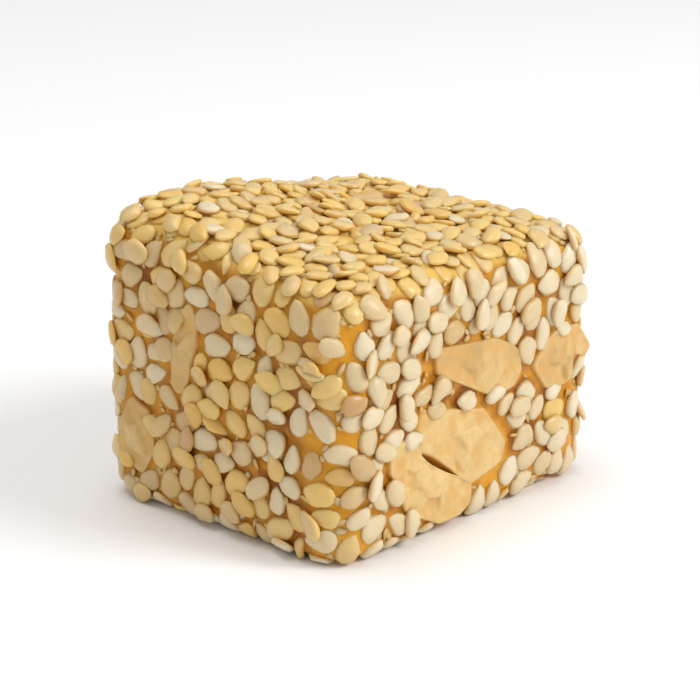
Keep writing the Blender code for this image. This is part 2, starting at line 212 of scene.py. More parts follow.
def colour_property(name, description, default):
    return FloatVectorProperty(
        name=name, description=description, default=default, subtype="COLOR", size=3, min=0, max=1
    )


def count_property(name, description, default):
    return IntProperty(name=name, description=description, default=default, min=2)


def length_property(name, description, default):
    return FloatProperty(
        name=name, description=description, default=default, unit="LENGTH", min=0.01 * MM
    )


class NougatSizes(bpy.types.PropertyGroup):
    """Sizes that a user would change."""

    core_cells: count_property("Caramel cells", "Cells along each side of a face", 84)
    fillet: length_property("Fillet", "How far the caramel climbs a seed's side", 0.16 * MM)
    glaze: length_property("Top glaze", "How far it climbs the seeds on the top", 0.17 * MM)
    seed_thickness: length_property("Seed thickness", "Mean thickness of a seed", 0.68 * MM)
    loose_seeds: count_property("Loose seeds", "Seeds that lie on other seeds", 400)
    flecks: count_property("Flecks", "Crumbs of seed skin and nut stuck in the gaps", 260)
    nut_voxel: length_property("Nut detail", "Cell size of a peanut piece", 0.14 * MM)


class NougatColours(bpy.types.PropertyGroup):
    """Colours that a user would change."""

    # Caramel runs from dark to light in random clouds. The light colour is also painted light at the
    # upright corners and in the wide gaps.
    caramel_dark: colour_property("Dark caramel", "Thick or shaded caramel", (0.27, 0.075, 0.008))
    caramel_light: colour_property("Light caramel", "Thin or lit caramel", (0.72, 0.32, 0.028))
    sesame_light: colour_property("Light sesame", "The palest hulled seeds", (0.81, 0.71, 0.515))
    sesame_warm: colour_property("Warm sesame", "The warmest hulled seeds", (0.69, 0.53, 0.29))
    glazed: colour_property("Glazed sesame", "Seeds under a film of caramel", (0.855, 0.58, 0.165))
    toasted: colour_property("Toasted sesame", "The few browned seeds", (0.55, 0.30, 0.10))
    peanut: colour_property("Peanut", "A broken face of a roasted peanut", (0.755, 0.53, 0.215))
    peanut_dark: colour_property("Dark peanut", "Its roasted edges", (0.74, 0.45, 0.12))
    # Thin caramel over the top. Its pale colour is partly painted light that lifts the shade between
    # the seeds there.
    syrup_and_painted_light: colour_property("Thin caramel", "The film of caramel over the top", (0.84, 0.54, 0.14))
    floor: colour_property("Floor", "The plain floor", (0.93, 0.93, 0.93))


# --- the rule that lays the seeds ---


def face_axes(name):
    """Outward normal, right and up of a face, as rows."""
    return np.array(FACES[name], float)


def hand_cut(points):
    """Gives points of the even block its swelling top and its bowed sides."""
    x, y, z = points.T
    up = z / HEIGHT
    off = (x - CROWN_AT[0]) ** 2 + (y - CROWN_AT[1]) ** 2
    rise = CROWN_RISE * np.exp(-off / (2 * CROWN_SPREAD**2)) * np.clip(up, 0, 1) ** 3
    bow = 1 + BELLY * np.sin(math.pi * np.clip(up, 0, 1))
    return np.stack([x * bow, y * bow, z + rise + BASE_LIFT], axis=1)


def surface(places):
    """The caramel's surface at places on a cube of half side 1."""
    flat = places * HALF
    core = np.clip(flat, ROUND - HALF, HALF - ROUND)
    out = (flat - core) / ROUND
    power = np.where(flat[:, 2] > 0, TOP_CORNER, BASE_CORNER)
    level, rise = np.linalg.norm(out[:, :2], axis=1), abs(out[:, 2])
    out /= ((level**power + rise**power) ** (1 / power))[:, None]
    return hand_cut(core + out * ROUND + [0, 0, HALF[2]])


def frames(faces, across, up):
    """Points of the surface, from -1 to 1 across and up a face, and their right, up and out."""
    axes = np.stack([face_axes(FACE_NAMES[f]) for f in faces])
    step = 0.01
    places = axes[:, 0] + across[:, None] * axes[:, 1] + up[:, None] * axes[:, 2]
    here = surface(places)
    right = surface(places + step * axes[:, 1]) - here
    right /= np.linalg.norm(right, axis=1, keepdims=True)
    rise = surface(places + step * axes[:, 2]) - here
    out = np.cross(right, rise)
    out /= np.linalg.norm(out, axis=1, keepdims=True)
    return here, right, np.cross(out, right), out


def face_size(name):
    """Half width and half height of a face."""
    _, right, up = face_axes(name)
    return np.array([abs(right) @ HALF, abs(up) @ HALF])


def patch_matrix(face, at, turn):
    """The place of a patch of a face: its x along it, its z out of the block."""
    place = np.array(at) * MM / face_size(face)
    here = frames([FACE_NAMES.index(face)], place[:1], place[1:])
    middle, right, up, out = (rows[0] for rows in here)
    angle = math.radians(turn)
    along = math.cos(angle) * right + math.sin(angle) * up
    turned = Matrix(np.stack([along, np.cross(out, along), out], axis=1)).to_4x4()
    return Matrix.Translation(middle) @ turned


def seedless_patches(margin=NUT_MARGIN):
    """The matrix into each nut piece and bare patch of caramel, and how far it reaches."""
    found = []
    for face, at, size, turn in NUTS.values():
        reach = np.array([*size, 2 * NUT_DEEP]) * MM / 2 + margin
        found.append((np.array(patch_matrix(face, at, turn).inverted()), reach))
    for face, at, size in BARE:
        reach = np.array([*size, BARE_DEEP]) * MM
        found.append((np.array(patch_matrix(face, at, 0).inverted()), reach))
    return found


def within(turned, points):
    """Points as a patch sees them."""
    return points @ turned[:3, :3].T + turned[:3, 3]


def clear_of(patches, points):
    """Whether each point lies outside every patch."""
    shares = [np.linalg.norm(within(turned, points) / reach, axis=-1) for turned, reach in patches]
    return np.min(shares, axis=0) > 1


def headings(turn, right, rise):
    """A direction on the surface for each turn, which is 0 to the right."""
    return np.cos(turn)[:, None] * right + np.sin(turn)[:, None] * rise


def seed_discs(middle, along, size):
    """Middles of the discs that stand for each seed."""
    return middle[:, None] + (size[:, None] * SEED_DISCS[:, 0])[..., None] * along[:, None]


def lay_seeds(count, rng):
    """Places seeds one after another, each where it has the most room of SEED_TRIES places."""
    patches = seedless_patches()
    areas = np.array([np.prod(face_size(name)) for name in FACE_NAMES])
    shares = areas / areas.sum()
    laid = {key: [] for key in ("middle", "along", "out", "size")}
    taken = np.zeros((0, 3))
    while len(laid["size"]) < count:
        faces = rng.choice(len(FACE_NAMES), SEED_TRIES, p=shares)
        across, up = rng.uniform(-1, 1, (2, SEED_TRIES))
        turn = rng.uniform(0, math.pi, SEED_TRIES)
        size = 1 + SEED_SPREAD * rng.uniform(-1, 1, SEED_TRIES)
        rng.normal(0, 1, 2)  # the tilt of the solid's seed: both draw the same numbers
        if not len(taken):
            faces[0], across[0], up[0] = FACE_NAMES.index("base"), 0, 0
        middle, right, rise, out = frames(faces, across, up)
        along = headings(turn, right, rise)
        discs = seed_discs(middle, along, size)
        clear = clear_of(patches, discs).all(axis=1)
        room = np.full(SEED_TRIES, 1.0)
        if len(taken):
            gaps = discs[:, :, None] - taken[None, None]
            room = np.sqrt((gaps**2).sum(-1)).min((1, 2))
        best = int(np.argmax(np.where(clear, room, -1)))
        if not clear[best]:
            continue
        for key, value in (("middle", middle), ("along", along), ("out", out), ("size", size)):
            laid[key].append(value[best])
        taken = np.concatenate([taken, discs[best]])
    return {key: np.array(value) for key, value in laid.items()}


def on_surface(points, along):
    """Points near the caramel brought onto it, along laid flat on it, and the way out of it."""
    z = points[:, 2] - BASE_LIFT
    off = (points[:, 0] - CROWN_AT[0]) ** 2 + (points[:, 1] - CROWN_AT[1]) ** 2
    peak = CROWN_RISE * np.exp(-off / (2 * CROWN_SPREAD**2))
    up = np.clip(z / HEIGHT, 0, 1)
    for _ in range(4):
        up = np.clip((z - peak * up**3) / HEIGHT, 0, 1)
    bow = 1 + BELLY * np.sin(math.pi * up)
    even = np.stack([points[:, 0] / bow, points[:, 1] / bow, z - peak * up**3 - HALF[2]], axis=1)
    core = np.clip(even, ROUND - HALF, HALF - ROUND)
    out = (even - core) / ROUND
    reach = (HALF - np.abs(core)) / np.maximum(np.abs(out) * ROUND, 1e-9)
    cube = (core + reach.min(axis=1, keepdims=True) * out * ROUND) / HALF
    axes = np.array(list(FACES.values()), float)
    faces = (cube @ axes[:, 0].T).argmax(axis=1)
    across, up = (cube * axes[faces, 1]).sum(1), (cube * axes[faces, 2]).sum(1)
    here, _, _, out = frames(faces, across, up)
    along = along - (along * out).sum(1, keepdims=True) * out
    return here, along / np.linalg.norm(along, axis=1, keepdims=True), out


def shove(middle, discs, radii, patches):
    """How far each disc is pushed off the discs of other seeds and off the patches."""
    near = np.linalg.norm(middle[:, None] - middle[None], axis=-1) < 1.5 * SEED_LENGTH
    np.fill_diagonal(near, False)
    one, other = np.nonzero(near)
    gap = discs[one][:, :, None] - discs[other][:, None]
    apart = np.linalg.norm(gap, axis=-1) + 1e-9
    push = np.clip(radii[one][:, :, None] + radii[other][:, None] - apart, 0, None)
    pushed = np.zeros_like(discs)
    np.add.at(pushed, one, ((push / apart)[..., None] * gap).sum(2))
    for turned, reach in patches:
        local = within(turned, discs) / reach
        inside = np.clip(1 + PATCH_EDGE - np.linalg.norm(local, axis=-1, keepdims=True), 0, None)
        local[..., 2] = 0
        local /= np.linalg.norm(local, axis=-1, keepdims=True) + 1e-9
        pushed += (inside * PATCH_PUSH * local) @ turned[:3, :3]
    return pushed


def settle_seeds(laid):
    """Lets the seeds shove each other over the caramel until they lie snugly side by side."""
    patches = seedless_patches()
    size = laid["size"]
    radii = size[:, None] * SEED_DISCS[:, 1] * SEED_SNUG
    middle, along, out = on_surface(laid["middle"], laid["along"])
    for _ in range(SEED_ROUNDS):
        discs = seed_discs(middle, along, size)
        pushed = shove(middle, discs, radii, patches)
        arm = discs - middle[:, None]
        turn = (np.cross(arm, pushed).sum(1) * out).sum(1) / (arm**2).sum((1, 2))
        turn = np.clip(turn / 2, -0.4, 0.4)[:, None]
        along = along * np.cos(turn) + np.cross(out, along) * np.sin(turn)
        middle, along, out = on_surface(middle + pushed.mean(1) / 2, along)
    return dict(laid, middle=middle, along=along, out=out)


def fill_gaps(laid, rng):
    """Adds seeds wherever those laid have left room for one, also close round the nut pieces."""
    patches = seedless_patches(FILL_MARGIN)
    faces = rng.choice(len(FACE_NAMES), FILL_TRIES)
    across, up = rng.uniform(-1, 1, (2, FILL_TRIES))
    middle, right, rise, out = frames(faces, across, up)
    along = headings(rng.uniform(0, 2 * math.pi, FILL_TRIES), right, rise)
    size = rng.uniform(*FILL_SIZES, FILL_TRIES)
    discs = seed_discs(middle, along, size)
    taken = seed_discs(laid["middle"], laid["along"], laid["size"]).reshape(-1, 3)
    room = np.where(out[:, 2] > FACING, TOP_ROOM, FILL_ROOM)
    chosen = []
    for k in np.flatnonzero(clear_of(patches, discs).all(axis=1)):
        if np.linalg.norm(taken[:, None] - discs[k], axis=-1).min() > room[k]:
            taken = np.concatenate([taken, discs[k]])
            chosen.append(k)
    more = dict(middle=middle, along=along, out=out, size=size)
    return {key: np.concatenate([laid[key], value[chosen]]) for key, value in more.items()}


# --- seeds come to rest ---


class Lens:
    """A seed or nut piece as what lies on it feels it: middle, directions and half sizes."""

    def __init__(self, middle, axes, half):
        self.middle, self.axes, self.half = middle, axes, half

    def top_over(self, points, direction):
        """How far along a direction a ray from each point leaves the lens, or -1."""
        start = ((points - self.middle) @ self.axes.T) / self.half
        step = (self.axes @ direction) / self.half
        a, b, c = step @ step, start @ step, (start**2).sum(1) - 1
        root = b**2 - a * c
        return np.where(root > 0, (np.sqrt(np.clip(root, 0, None)) - b) / a, -1.0)


# Points of a seed's outline that feel what is under it, and the slopes that it may settle at.
GRID = np.array([(x, y) for x in (-0.85, -0.45, 0, 0.45, 0.85) for y in (-0.75, 0, 0.75)])
GRID = GRID[(GRID**2).sum(1) < 1.1]
SLOPES = np.array([(x, y) for x in np.linspace(-0.6, 0.6, 13) for y in np.linspace(-0.6, 0.6, 13)])


def rest_on(under, middle, along, out, half, bite, tilt):
    """Lets a seed settle at a place. It returns the seed as a Lens, and how high it lies."""
    side = np.cross(out, along)
    reach = GRID * half[:2]
    belly = half[2] * np.sqrt(np.clip(1 - (GRID**2).sum(1), 0.02, 1))
    points = middle + reach[:, :1] * along + reach[:, 1:] * side
    need = belly - SEED_SINK
    for lens in under:
        over = lens.top_over(points, out)
        need = np.where((over > 0) & (over < 2 * MM), np.maximum(need, over + belly - bite), need)
    slopes = SLOPES + tilt
    lifts = (need[None] - slopes @ reach.T).max(1)
    best = int((lifts + 0.05 * MM * (slopes**2).sum(1)).argmin())
    slope, lift = slopes[best], lifts[best]
    up = out - slope[0] * along - slope[1] * side
    up /= np.linalg.norm(up)
    ahead = along + slope[0] * out
    ahead -= (ahead @ up) * up
    ahead /= np.linalg.norm(ahead)
    return Lens(middle + lift * out, np.stack([ahead, np.cross(up, ahead), up]), half), lift


def neighbours(lenses, middles, middle, out):
    """The seeds near a place that face about the same way."""
    apart = np.linalg.norm(middles[: len(lenses)] - middle, axis=1)
    near = np.flatnonzero(apart < NEIGHBOUR_REACH)
    return [lenses[n] for n in near if lenses[n].axes[2] @ out > 0.4]


def nut_lenses():
    """The nut pieces as seeds feel them."""
    found = []
    for face, at, size, turn in NUTS.values():
        turned = np.array(patch_matrix(face, at, turn))
        half = np.array([size[0] * NUT_REACH * MM, size[1] * NUT_REACH * MM, NUT_PROUD - NUT_BITE])
        found.append(Lens(turned[:3, 3], turned[:3, :3].T, half))
    return found


def on_edge(lens, out, rng):
    """A seed that was caught on its side: turned about its length and pushed in the caramel."""
    turn = rng.uniform(0.7, 1.3) * rng.choice((-1, 1))
    ahead, side, up = lens.axes
    lower = math.cos(turn) * side + math.sin(turn) * up
    upper = math.cos(turn) * up - math.sin(turn) * side
    half = lens.half * (1, 0.85, 1)
    return Lens(lens.middle - 0.1 * MM * out, np.stack([ahead, lower, upper]), half)


def seed_half(rng, size, thickness):
    """Half sizes of one seed, as uneven as real ones."""
    long, wide = size * rng.normal(1, 0.05), size * rng.normal(1, 0.07)
    long, wide = SEED_SHARE * long, SEED_SHARE * wide
    thick = thickness / 2 * rng.normal(1, 0.1)
    return np.array([SEED_LENGTH / 2 * long, SEED_WIDTH / 2 * wide, thick])


def loose_seed(lenses, middles, nuts, patches, thickness, rng):
    """One more seed on the others, at the lowest of LOOSE_TRIES places, or None if all are bad."""
    face = rng.choice(len(FACE_NAMES), p=LOOSE_SHARES)
    across, up = rng.uniform(-0.97, 0.97, (2, LOOSE_TRIES))
    place, right, rise, out = frames(np.full(LOOSE_TRIES, face), across, up)
    along = headings(rng.uniform(0, 2 * math.pi, LOOSE_TRIES), right, rise)
    free = clear_of(patches, place) | (rng.random(LOOSE_TRIES) < LOOSE_ON_PATCHES)
    half = seed_half(rng, rng.uniform(*LOOSE_SIZES), LOOSE_THICKNESS * thickness)
    if FACE_NAMES[face] == "top":
        half = half * TOP_SHARE
    best, lowest = None, math.inf
    for k in np.flatnonzero(free):
        under = neighbours(lenses, middles, place[k], out[k]) + nuts
        lens, lift = rest_on(under, place[k], along[k], out[k], half, LOOSE_BITE, 0)
        if lens.middle[2] < CAD_BOX[1][2] and lift < lowest:
            best, lowest = (lens, place[k]), lift
    return best


def rest_all(sizes):
    """Every seed at rest: those that cover the block, then the loose ones on top of them."""
    laid = settle_seeds(lay_seeds(SEED_COUNT, np.random.default_rng(RANDOM_SEED)))
    rng = np.random.default_rng([RANDOM_SEED, 1])
    laid = fill_gaps(laid, rng)
    nuts = nut_lenses()
    pressed = len(laid["size"])
    lenses, middles = [], np.zeros((pressed + sizes.loose_seeds, 3))
    for number in range(pressed):
        middle, along, out = (laid[key][number] for key in ("middle", "along", "out"))
        half = seed_half(rng, laid["size"][number], sizes.seed_thickness)
        if out[2] > FACING:
            half = half * TOP_SHARE
        under = neighbours(lenses, middles, middle, out) + nuts
        tilt = rng.normal(0, PRESSED_TILT, 2)
        lens, _ = rest_on(under, middle, along, out, half, PRESSED_BITE, tilt)
        middles[number] = middle
        lenses.append(on_edge(lens, out, rng) if rng.random() < EDGE_SHARE and number else lens)
    patches = seedless_patches()
    while len(lenses) < len(middles):
        made = loose_seed(lenses, middles, nuts, patches, sizes.seed_thickness, rng)
        if made:
            middles[len(lenses)] = made[1]
            lenses.append(made[0])
    return lenses


RESTED = {}


def seeds_at_rest():
    """The seeds as rest_all leaves them, worked out once for each set of sizes."""
    sizes = bpy.context.scene.nougat_sizes
    key = (sizes.seed_thickness, sizes.loose_seeds)
    if key not in RESTED:
        RESTED[key] = rest_all(sizes)
    return RESTED[key]


# --- making meshes ---


def deselect():
    if bpy.context.mode != "OBJECT":
        bpy.ops.object.mode_set(mode="OBJECT")
    bpy.ops.object.select_all(action="DESELECT")


def coordinates(mesh):
    found = np.empty(len(mesh.vertices) * 3)
    mesh.vertices.foreach_get("co", found)
    return found.reshape(-1, 3)


def normals(mesh):
    found = np.empty(len(mesh.vertices) * 3)
    mesh.vertex_normals.foreach_get("vector", found)
    return found.reshape(-1, 3)


def move_to(mesh, points):
    mesh.vertices.foreach_set("co", np.ascontiguousarray(points, np.float32).ravel())
    mesh.update()


def store(mesh, name, values, kind="FLOAT"):
    """Keeps one value for each vertex: a number, a vector or a colour."""
    made = mesh.attributes.new(name, kind, "POINT")
    key = {"FLOAT": "value", "FLOAT_VECTOR": "vector", "FLOAT_COLOR": "color"}[kind]
    made.data.foreach_set(key, np.ascontiguousarray(values, np.float32).ravel())


def fractal(points, scale, octaves=3, offset=0.0):
    """Smooth noise from about -1 to 1 at points; scale is the size of its lumps."""
    moved = points / scale + offset
    return np.array([noise.fractal(Vector(p), 1.0, 2.0, octaves) for p in moved])


def smoothstep(low, high, values):
    share = np.clip((values - low) / (high - low), 0, 1)
    return share * share * (3 - 2 * share)


def hand_over(piece, slot, *nodes):
    """Ends a piece: it rides on the one body and stands for its CAD nodes, which it hides. slot is
    not used.
    """
    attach(piece, "root")
    if nodes:
        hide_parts(*nodes)


def linked(name, data):
    """A new object in the scene."""
    made = bpy.data.objects.new(name, data)
    bpy.context.scene.collection.objects.link(made)
    return made


def joined(name, points, faces):
    """One mesh object of many copies of a shape: the points of each, and the faces of one."""
    mesh = bpy.data.meshes.new(name)
    firsts = range(0, points.shape[0] * points.shape[1], points.shape[1])
    every = [tuple(first + v for v in face) for first in firsts for face in faces]
    mesh.from_pydata(points.reshape(-1, 3).tolist(), [], every)
    mesh.shade_smooth()
    return linked(name, mesh)


def primitive_shape(add, **settings):
    """Points and faces of a primitive, which is then removed."""
    deselect()
    add(**settings)
    made = bpy.context.object
    points = coordinates(made.data)
    faces = [tuple(face.vertices) for face in made.data.polygons]
    bpy.data.meshes.remove(made.data)
    return points, faces


# --- materials ---


class Finish:
    """A new material and short ways to add nodes to it."""

    def __init__(self, name):
        self.material = bpy.data.materials.new(name)
        self.material.use_nodes = True
        self.tree = self.material.node_tree
        self.shader = self.tree.nodes["Principled BSDF"]

    def node(self, kind, **settings):
        made = self.tree.nodes.new(kind)
        for key, value in settings.items():
            setattr(made, key, value)
        return made

    def link(self, source, target):
        self.tree.links.new(source, target)

    def plain(self, **values):
        for name, value in values.items():
            self.shader.inputs[name.replace("_", " ")].default_value = value

    def here(self):
        return self.node("ShaderNodeTexCoord").outputs["Object"]

    def stored(self, name):
        return self.node("ShaderNodeAttribute", attribute_name=name)

    def noise(self, vector, scale, detail=3.0, rough=0.5, distortion=0.0):
        made = self.node("ShaderNodeTexNoise")
        self.link(vector, made.inputs["Vector"])
        names = ("Scale", "Detail", "Roughness", "Distortion")
        for name, value in zip(names, (scale, detail, rough, distortion)):
            made.inputs[name].default_value = value
        return made.outputs["Fac"]

    def ramp(self, factor, *stops):
        made = self.node("ShaderNodeValToRGB")
        self.link(factor, made.inputs["Fac"])
        ends = made.color_ramp.elements
        while len(ends) < len(stops):
            ends.new(0.5)
        for end, (place, colour) in zip(ends, stops):
            end.position = place
            end.color = (*colour, 1) if hasattr(colour, "__len__") else (colour,) * 3 + (1,)
        return made.outputs["Color"]

    def feed(self, value, socket):
        """Gives a socket another one's output, a colour or a number."""
        if isinstance(value, bpy.types.NodeSocket):
            self.link(value, socket)
        else:
            socket.default_value = (*value, 1) if hasattr(value, "__len__") else value

    def mix(self, factor, first, second, blend="MIX"):
        made = self.node("ShaderNodeMix", data_type="RGBA", blend_type=blend)
        for number, value in ((0, factor), (6, first), (7, second)):
            self.feed(value, made.inputs[number])
        return made.outputs[2]

    def math(self, operation, first, second):
        made = self.node("ShaderNodeMath", operation=operation)
        self.feed(first, made.inputs[0])
        self.feed(second, made.inputs[1])
        return made.outputs[0]

    def bump(self, height, strength, distance):
        made = self.node("ShaderNodeBump")
        made.inputs["Strength"].default_value = strength
        made.inputs["Distance"].default_value = distance
        self.link(height, made.inputs["Height"])
        self.link(made.outputs["Normal"], self.shader.inputs["Normal"])


def caramel_finish(colours):
    """Glossy amber caramel, dark to light in random clouds, made paler by painted light at the
    upright corners and in the wide gaps, with fine bubbles just under its skin.
    """
    made = Finish("caramel")
    here = made.here()
    cloud = made.noise(here, 210, 4, 0.55, 0.4)
    bright = tuple(colours.caramel_light)
    light = made.ramp(cloud, (0.36, tuple(colours.caramel_dark)), (0.66, bright))
    # lit is painted light: paler caramel at the upright corners and in the wide gaps, none in the
    # crack.
    colour = made.mix(made.stored("lit").outputs["Fac"], light, bright)
    # Thin caramel over the top, made paler partly as painted light against the shade between the
    # seeds.
    colour = made.mix(made.stored("film_and_painted_light").outputs["Fac"], colour, tuple(colours.syrup_and_painted_light))
    bubbles = made.node("ShaderNodeTexVoronoi", feature="F1")
    made.link(here, bubbles.inputs["Vector"])
    bubbles.inputs["Scale"].default_value = 2300
    dots = made.ramp(bubbles.outputs["Distance"], (0.12, 1.0), (0.3, 0.0))
    sparse = made.ramp(made.noise(here, 420, 2), (0.5, 0.0), (0.62, 0.55))
    shown = made.math("MULTIPLY", dots, sparse)
    colour = made.mix(shown, colour, (0.80, 0.48, 0.12))
    made.link(colour, made.shader.inputs["Base Color"])
    made.plain(Roughness=0.3, Specular_IOR_Level=0.3, Specular_Tint=(1.0, 0.66, 0.25, 1))
    made.plain(Coat_Weight=0.05, Coat_Roughness=0.06)
    made.plain(Subsurface_Weight=0.45, Subsurface_Scale=0.0013, IOR=1.45)
    made.plain(Subsurface_Radius=(1.0, 0.34, 0.06))
    grain = made.math("ADD", made.noise(here, 900, 3), made.math("MULTIPLY", shown, 0.6))
    made.bump(grain, 0.35, 0.00012)
    return made.material


def sesame_finish(name, light, warm, stained, coat, roughness):
    """Hulled sesame. tint holds a seed's tone, how much caramel stains its rim, and how much browner
    it is: tanned at random, and painted shade on the seeds that face left.
    """
    made = Finish(name)
    parts = made.node("ShaderNodeSeparateColor")
    made.link(made.stored("tint").outputs["Color"], parts.inputs[0])
    tone, stain, tan_and_painted_shade = parts.outputs
    colour = made.mix(tone, tuple(warm), tuple(light))
    grain = made.stored("grain").outputs["Vector"]
    lines = made.noise(grain, 3.0, 3, 0.6)
    colour = made.mix(0.6, colour, made.ramp(lines, (0.3, 0.86), (0.7, 1.0)), "MULTIPLY")
    # Browner by a random tan, and by painted shade on the seeds that face left.
    colour = made.mix(tan_and_painted_shade, colour, (0.9, 0.74, 0.46), "MULTIPLY")
    colour = made.mix(stain, colour, tuple(stained))
    made.link(colour, made.shader.inputs["Base Color"])
    made.plain(Roughness=roughness, Coat_Weight=coat, Coat_Roughness=0.12, IOR=1.46)
    made.plain(Subsurface_Weight=0.42, Subsurface_Scale=0.0009, Subsurface_Radius=(1.0, 0.7, 0.35))
    made.bump(lines, 0.3, 0.00006)
    return made.material


def peanut_finish(colours):
    """A roasted peanut's broken face: grainy and dull, glossy and amber where caramel climbs it."""
    made = Finish("roasted_peanut")
    here = made.here()
    tone = made.noise(here, 190, 5, 0.62, 0.6)
    colour = made.ramp(tone, (0.34, tuple(colours.peanut_dark)), (0.56, tuple(colours.peanut)))
    colour = made.mix(0.75, colour, tuple(colours.peanut))
    toned = made.ramp(made.stored("plane").outputs["Fac"], (0.0, (0.80, 0.71, 0.60)), (0.7, 1.0))
    colour = made.mix(1.0, colour, toned, "MULTIPLY")
    specks = made.ramp(made.noise(here, 1100, 4, 0.65), (0.35, 0.86), (0.6, 1.0))
    colour = made.mix(0.8, colour, specks, "MULTIPLY")
    glaze = made.stored("glaze").outputs["Fac"]
    colour = made.mix(glaze, colour, NUT_GLAZE)
    made.link(colour, made.shader.inputs["Base Color"])
    dull = made.math("SUBTRACT", 0.52, made.math("MULTIPLY", glaze, 0.3))
    made.link(dull, made.shader.inputs["Roughness"])
    made.plain(Subsurface_Weight=0.25, Subsurface_Scale=0.001, IOR=1.45)
    made.plain(Subsurface_Radius=(1.0, 0.6, 0.25), Coat_Weight=0.15, Coat_Roughness=0.2)
    made.bump(made.noise(here, 2400, 3, 0.6), 0.4, 0.00008)
    return made.material


# --- what is near the caramel ---


def nut_trees():
    """A search tree of each CAD nut piece, to see how near the caramel is to it."""
    found = []
    for name in NUTS:
        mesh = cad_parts[name].data
        points = coordinates(mesh)
        faces = [tuple(face.vertices) for face in mesh.polygons]
        found.append((BVHTree.FromPolygons(points.tolist(), faces), points.min(0), points.max(0)))
    return found


def crack_line(points):
    """How far the crack gapes at points, 0 to 1, how far above it they are, and that way up."""
    run = np.diff(CRACK_ENDS, axis=0)[0]
    flat = points[:, (0, 2)] - [0, BASE_LIFT + HALF[2]] - CRACK_ENDS[0]
    share = np.clip(flat @ run / (run @ run), 0, 1)
    upward = np.array([-run[1], run[0]]) / np.linalg.norm(run)
    gape = np.sin(math.pi * share**0.7) ** 0.8 * (points[:, 1] < 0)
    return gape, flat @ upward, np.array([upward[0], 0, upward[1]])


def seed_nearness(points):
    """How far each point lies outside the nearest seed's outline."""
    lenses = seeds_at_rest()
    middle = np.array([lens.middle for lens in lenses])
    along = np.array([lens.axes[0] for lens in lenses])
    size = np.array([lens.half[0] for lens in lenses]) / (SEED_LENGTH / 2)
    discs = seed_discs(middle, along, size).reshape(-1, 3).astype(np.float32)
    radii = (size[:, None] * SEED_DISCS[:, 1]).reshape(-1).astype(np.float32)
    found = []
    for chunk in np.array_split(points.astype(np.float32), len(points) // 1500 + 1):
        apart = np.sqrt((chunk**2).sum(1)[:, None] + (discs**2).sum(1) - 2 * chunk @ discs.T + 1e-12)
        found.append((apart - radii).min(1))
    return np.concatenate(found)


# --- operators ---


class NOUGAT_OT_caramel(bpy.types.Operator):
    """Makes the caramel block, which climbs the seeds and the nut pieces that are stuck in it"""

    bl_idname = "nougat.caramel"
    bl_label = "Caramel block"

    def execute(self, context):
        sizes = context.scene.nougat_sizes
        deselect()
        bpy.ops.mesh.primitive_cube_add(size=2)
        piece = context.object
        piece.name = piece.data.name = "caramel"
        bpy.ops.object.mode_set(mode="EDIT")
        bpy.ops.mesh.subdivide(number_cuts=sizes.core_cells - 1)
        bpy.ops.object.mode_set(mode="OBJECT")
        mesh = piece.data
        base = surface(coordinates(mesh))
        move_to(mesh, base)
        out = normals(mesh)
        climb = np.where(out[:, 2] > FACING, sizes.glaze, sizes.fillet)
        near = seed_nearness(base)
        rise = climb * smoothstep(0.5 * MM, 0.0, near)
        rise = np.maximum(rise, NUT_CLIMB * self.nut_climb(base))
        dents = 0.1 * MM * fractal(base, 4 * MM, 2) + 0.035 * MM * fractal(base, 0.9 * MM, 2, 9.0)
        gape, above, _ = crack_line(base)
        dug = gape * smoothstep(0.9 * MM, 0.45 * MM, abs(above))
        points = base + (rise + dents - 0.04 * MM - CRACK_DEPTH * dug)[:, None] * out
        points[:, 2] = np.maximum(points[:, 2], 0.05 * MM)
        move_to(mesh, points)
        # Painted light: the caramel is made paler at the upright corners and in the wide gaps away
        # from the seeds, where light would shine through it. The crack gets none of it, so it is
        # painted darker, as shade.
        corner = smoothstep(0.66, 0.92, (abs(base[:, :2]) / HALF[:2]).min(1))
        lit = np.maximum(0.85 * smoothstep(0.2 * MM, 0.8 * MM, near), corner)
        store(mesh, "lit", lit * (1 - dug))
        # Thin caramel over the top, whose paler colour is partly painted light that lifts the shade
        # between the seeds.
        store(mesh, "film_and_painted_light", 0.85 * smoothstep(0.45, 0.85, out[:, 2]))
        mesh.shade_smooth()
        mesh.materials.append(caramel_finish(context.scene.nougat_colours))
        hand_over(piece, "caramel", "nougat")
        return {"FINISHED"}

    def nut_climb(self, points):
        """From 0, far from any nut piece, to 1 against its side."""
        found = np.zeros(len(points))
        reach = 0.9 * MM
        for tree, low, high in nut_trees():
            close = np.flatnonzero(((points > low - reach) & (points < high + reach)).all(axis=1))
            for k in close:
                apart = tree.find_nearest(points[k], reach)[3]
                if apart is not None:
                    found[k] = max(found[k], math.exp(-((apart / NUT_CLIMB_WIDTH) ** 2)))
        return found


